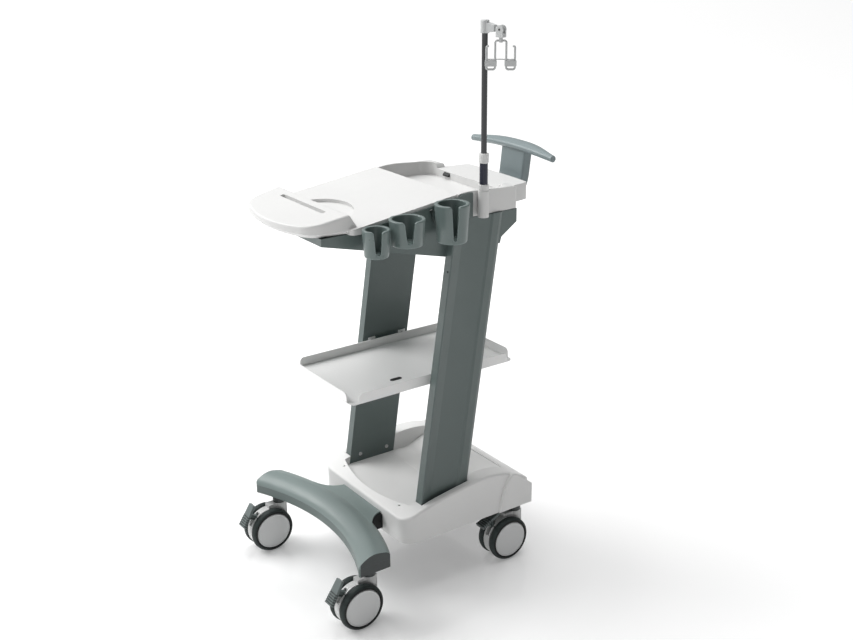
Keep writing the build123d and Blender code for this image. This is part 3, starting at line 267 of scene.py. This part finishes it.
def metal(name, colour, roughness, stretch=(900.0, 900.0, 14.0)):
    """Drawn or turned metal: fine lines along the part and a small spread of gloss."""
    surface = Surface(name, roughness, metallic=1.0)
    lines = surface.noise(1.0, 3.0, 0.6, stretch=stretch)
    tone = surface.mix(lines, shade(colour, 0.9), shade(colour, 1.06))
    surface.feed("Roughness", surface.span(lines, roughness - 0.05, roughness + 0.08, 0.3, 0.7))
    surface.round_edges(0.0003)
    surface.bump(lines, 0.25, 0.00002)
    return surface.finish(tone)


def overlay(material, strength, colour, mask):
    """Mixes a colour over a material's base colour where mask(tree, position) is 1."""
    tree = material.node_tree
    shader = next(n for n in tree.nodes if n.bl_idname == "ShaderNodeBsdfPrincipled")
    coordinates = next(n for n in tree.nodes if n.bl_idname == "ShaderNodeTexCoord")
    base = shader.inputs["Base Color"].links[0].from_socket
    amount = arithmetic(tree, "MULTIPLY", mask(tree, coordinates.outputs["Object"]), strength)
    tree.links.new(mixed(tree, amount, base, colour), shader.inputs["Base Color"])


def beyond_x(limit):
    """A mask that is 1 where the surface lies further than limit from the middle plane."""
    def mask(tree, position):
        split = tree.nodes.new("ShaderNodeSeparateXYZ")
        tree.links.new(position, split.inputs["Vector"])
        return arithmetic(tree, "GREATER_THAN", arithmetic(tree, "ABSOLUTE", split.outputs["X"]), limit)
    return mask


def pedal_groove_shade(toe, along):
    """A mask that is 1 in the grooves between a pedal's ribs, which run on from its toe, for painted shade in
    them.
    """
    def mask(tree, position):
        run = arithmetic(tree, "SUBTRACT", dot_product(tree, position, along), toe.dot(along))
        from_rib = arithmetic(tree, "PINGPONG", arithmetic(tree, "SUBTRACT", run, RIB_MIDDLE), RIB_PITCH / 2)
        groove = ranged(tree, from_rib, 0.0, 1.0, RIB_PITCH * 0.20, RIB_PITCH * 0.30)
        return arithmetic(tree, "MULTIPLY", groove, arithmetic(tree, "LESS_THAN", run, RIBBED_LENGTH))
    return mask


def pedal_plastic(name):
    return moulded(name, srgb(100, 110, 109), edge_highlight=1.4)


MATERIALS = {
    "white_plastic": moulded("white_plastic", srgb(210, 210, 209), roughness=0.40),
    # painted light: a brighter copy of the white plastic, for the base's parts
    "base_lit_plastic": moulded("base_lit_plastic", srgb(230, 230, 229), roughness=0.40),
    "frame_steel": painted("frame_steel", srgb(40, 42, 42)),
    "foot_plastic": moulded("foot_plastic", srgb(121, 134, 132), roughness=0.38, edge_highlight=1.18),
    "foot_casting": painted("foot_casting", srgb(96, 108, 106)),
    "black_rubber": rubber("black_rubber", srgb(24, 26, 26)),
    # the grey-green is darkened a little as painted shade on the pillars
    "grey_green_paint": painted("grey_green_paint", srgb(88, 100, 98), roughness=0.36, edge_highlight=1.5,
                                coat=0.05),
    "shelf_paint": painted("shelf_paint", srgb(238, 238, 237), roughness=0.38, edge_highlight=1.02),
    "black_plastic": moulded("black_plastic", srgb(26, 28, 28), roughness=0.5, edge_highlight=1.8),
    # the cups' bright rims are a strong painted highlight
    "cup_plastic": moulded("cup_plastic", srgb(100, 113, 111), roughness=0.32, edge_highlight=1.9, edge=0.0012),
    "dark_grey_plastic": moulded("dark_grey_plastic", srgb(58, 64, 66), roughness=0.45),
    "light_grey_plastic": moulded("light_grey_plastic", srgb(186, 188, 188)),
    "navy_plastic": moulded("navy_plastic", srgb(18, 23, 46), roughness=0.40),
    # the chrome's very dark colour paints the dark reflections of the studio
    "chrome": metal("chrome", (0.07, 0.072, 0.074, 1.0), roughness=0.12),
    "wire_steel": painted("wire_steel", srgb(176, 178, 178), roughness=0.35, metallic=0.35),
    "handle_plastic": moulded("handle_plastic", srgb(118, 130, 132), roughness=0.38, edge_highlight=1.15),
    "screw_steel": metal("screw_steel", (0.6, 0.6, 0.6, 1.0), roughness=0.28,
                         stretch=(1200.0, 1200.0, 1200.0)),
    "collar_steel": painted("collar_steel", srgb(52, 58, 58)),
    "caster_grey": moulded("caster_grey", srgb(205, 206, 205), roughness=0.30),
    "pedal_grey": pedal_plastic("pedal_grey"),
    "wheel_grey": moulded("wheel_grey", srgb(218, 219, 219), roughness=0.38),
    "tyre_rubber": rubber("tyre_rubber", srgb(42, 50, 49)),
}

# Painted shade: the flat ends of the foot are darkened
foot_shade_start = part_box("foot_beam")[1].x - FOOT_END_SHADE_DEPTH
for name in ("foot_plastic", "foot_casting"):
    overlay(MATERIALS[name], 0.92, srgb(40, 46, 46), beyond_x(foot_shade_start))


def dress(node, material):
    """Puts one material in every slot of a CAD node."""
    obj = NODES[node]
    if not obj.material_slots:
        obj.data.materials.append(material)
    for place in obj.material_slots:
        place.link = "OBJECT"
        place.material = material


# The base's white-plastic parts get the brighter copy of that plastic, as painted light
for node, slot in SLOT_OF.items():
    base_painted_light = slot == "white_plastic" and node.startswith("base_")
    dress(node, MATERIALS["base_lit_plastic" if base_painted_light else slot])
dress("hinge_pin", MATERIALS["black_plastic"])    # its dark ends show on the hanger's hinge


# ---------------------------------------------------------------- small details

def piece_from(build, name, host, material, smooth):
    """Turns a bmesh into a piece that rides the same body as the CAD node it sits on."""
    bmesh.ops.recalc_face_normals(build, faces=build.faces)
    mesh = bpy.data.meshes.new(name)
    build.to_mesh(mesh)
    build.free()
    mesh.materials.append(MATERIALS[material])
    for face in mesh.polygons:
        face.use_smooth = smooth
    piece = bpy.data.objects.new(name, mesh)
    bpy.context.scene.collection.objects.link(piece)
    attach(piece, body_of(NODES[host])[0])


def bridge(build, first, second):
    """Faces between two closed rings of vertices."""
    for i in range(len(first)):
        j = (i + 1) % len(first)
        build.faces.new((first[i], first[j], second[j], second[i]))


def tyre_band(name, host, side):
    """Raised black band turned about the axle, on the side wall of a tyre."""
    profile = ((-0.0009, 0.0417), (0.0004, 0.0416), (0.0008, 0.0424), (0.0007, 0.0444), (0.0001, 0.0454),
               (-0.0012, 0.0458))
    low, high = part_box(host)
    centre = (low + high) / 2
    face = high.x if side > 0 else low.x
    build = bmesh.new()
    rings = []
    for step in range(RING_STEPS):
        angle = 2 * math.pi * step / RING_STEPS
        rings.append([build.verts.new((face + side * out, centre.y + radius * math.cos(angle),
                                       centre.z + radius * math.sin(angle))) for out, radius in profile])
    for step in range(RING_STEPS):
        bridge(build, rings[step], rings[(step + 1) % RING_STEPS])
    piece_from(build, name, host, "black_rubber", smooth=True)


def slot_edging(name, host):
    """Round-ended edging of the cable slot, lengthwise on the shelf; its dark floor is painted shade in the
    slot's recess.
    """
    reach, half_width = 0.014, 0.0055
    levels = ((0.0, 0.0), (0.0002, 0.0008), (0.0009, 0.0009), (0.0012, 0.0001))
    low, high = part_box(host)
    x = (low.x + high.x) / 2 + SLOT_OFFSET[0]
    y = low.y + SLOT_OFFSET[1]
    build = bmesh.new()
    rings = []
    for inset, height in levels:
        radius = half_width - inset
        ring = []
        for step in range(OBLONG_STEPS):
            angle = 2 * math.pi * step / OBLONG_STEPS
            end = reach - half_width if math.sin(angle) >= 0 else half_width - reach
            ring.append(build.verts.new((x + radius * math.cos(angle), y + end + radius * math.sin(angle),
                                         low.z + SHEET + height)))
        rings.append(ring)
    for below, above in zip(rings, rings[1:]):
        bridge(build, below, above)
    build.faces.new(rings[-1])
    piece_from(build, name, host, "black_plastic", smooth=False)


def ribbed_pedal(node, turn):
    """Gives a pedal a material of its own, with painted shade darkening the grooves between the ribs."""
    y, z = PEDAL_SLOPE
    along = Vector((0, y * math.cos(turn) - z * math.sin(turn), y * math.sin(turn) + z * math.cos(turn)))
    toe = min((vertex.co for vertex in NODES[node].data.vertices), key=lambda co: co.dot(along))
    material = pedal_plastic(node + "_grey")
    # painted shade in the grooves between the ribs
    overlay(material, 0.8, srgb(38, 44, 43), pedal_groove_shade(toe, along))
    dress(node, material)


# the slot's dark floor is painted shade
slot_edging("shelf_slot_edging", "shelf")

# At rest the front pedals are pressed, toe down, and the rear ones released
for corner, turn in (("front_left", 0.0), ("front_right", 0.0),
                     ("rear_left", PEDAL_RELEASED), ("rear_right", PEDAL_RELEASED)):
    ribbed_pedal(f"caster_{corner}_pedal", turn)
    for label, side in (("left", -1), ("right", 1)):
        tyre_band(f"caster_{corner}_tyre_band_{label}", f"caster_{corner}_tyre_{label}", side)


# ---------------------------------------------------------------- studio

def studio_floor(size):
    """Pale, slightly glossy floor that glows, less near the middle: painted light, with a painted soft shadow
    round the cart.
    """
    floor = Surface("studio_floor", 0.06)
    colour = floor.mix(floor.noise(3.0, 2.0), (0.84, 0.84, 0.84, 1), (0.86, 0.86, 0.86, 1))
    distance = floor.tree.nodes.new("ShaderNodeVectorMath")
    distance.operation = "LENGTH"
    floor.tree.links.new(floor.position, distance.inputs[0])
    floor.shader.inputs["Emission Color"].default_value = (1, 1, 1, 1)
    # painted light: the floor glows less near the cart, which paints a soft shadow round it
    floor.feed("Emission Strength", floor.span(distance.outputs["Value"], 0.20, 0.62, 0.5, 1.9))
    mesh = bpy.data.meshes.new("floor")
    build = bmesh.new()
    bmesh.ops.create_grid(build, x_segments=8, y_segments=8, size=size / 2)
    build.to_mesh(mesh)
    build.free()
    mesh.materials.append(floor.finish(colour))
    plane = bpy.data.objects.new("floor", mesh)
    bpy.context.scene.collection.objects.link(plane)


def softbox(name, location, target, size, energy):
    data = bpy.data.lights.new(name, "AREA")
    data.shape = "SQUARE"
    data.size = size
    data.energy = energy
    lamp = bpy.data.objects.new(name, data)
    lamp.location = location
    lamp.rotation_mode = "QUATERNION"
    lamp.rotation_quaternion = (Vector(target) - Vector(location)).to_track_quat("-Z", "Y")
    bpy.context.scene.collection.objects.link(lamp)


def surround():
    """Studio surround: bright above and to the front left, dark to the rear right, white at the horizon."""
    world = bpy.data.worlds.new("studio")
    world.use_nodes = True
    tree = world.node_tree
    direction = tree.nodes.new("ShaderNodeTexCoord").outputs["Generated"]
    split = tree.nodes.new("ShaderNodeSeparateXYZ")
    tree.links.new(direction, split.inputs["Vector"])
    level = ranged(tree, dot_product(tree, direction, (-0.72, -0.42, 0.55)), 0.03, 0.70, -0.35, 0.8)
    horizon = ranged(tree, split.outputs["Z"], 1.0, 0.0, 0.02, 0.08)
    background = tree.nodes["Background"]
    background.inputs["Color"].default_value = (1, 1, 1, 1)
    tree.links.new(arithmetic(tree, "MAXIMUM", level, horizon), background.inputs["Strength"])
    return world


studio_floor(60.0)
softbox("key", (-2.3, -1.9, 3.0), (0, 0, 0.5), 2.2, 95)
softbox("top", (-0.5, 0.5, 3.8), (0, 0, 0.4), 2.4, 68)
bpy.context.scene.world = surround()
bpy.context.scene.view_settings.view_transform = "Standard"
bpy.context.scene.view_settings.look = "None"


# ---------------------------------------------------------------- camera

CAMERA_PLACE = (2.0159, -1.3415, 1.4574)
AZIMUTH = math.radians(54.017)
ELEVATION = math.radians(20.409)
ROLL = math.radians(-0.071)

camera_data = bpy.data.cameras.new("camera")
camera_data.sensor_width = 36.0
camera_data.lens = 51.1
camera_data.shift_x = -0.02765
camera_data.shift_y = -0.00222
camera_data.clip_start, camera_data.clip_end = 0.05, 200
camera = bpy.data.objects.new("camera", camera_data)
back = Vector((math.sin(AZIMUTH) * math.cos(ELEVATION), -math.cos(AZIMUTH) * math.cos(ELEVATION),
               math.sin(ELEVATION)))
across = Vector((0, 0, 1)).cross(back).normalized()
level_view = Matrix((across, back.cross(across), back)).transposed()
camera.matrix_world = Matrix.Translation(CAMERA_PLACE) @ Matrix.Rotation(ROLL, 4, back) @ level_view.to_4x4()
bpy.context.scene.collection.objects.link(camera)
bpy.context.scene.camera = camera
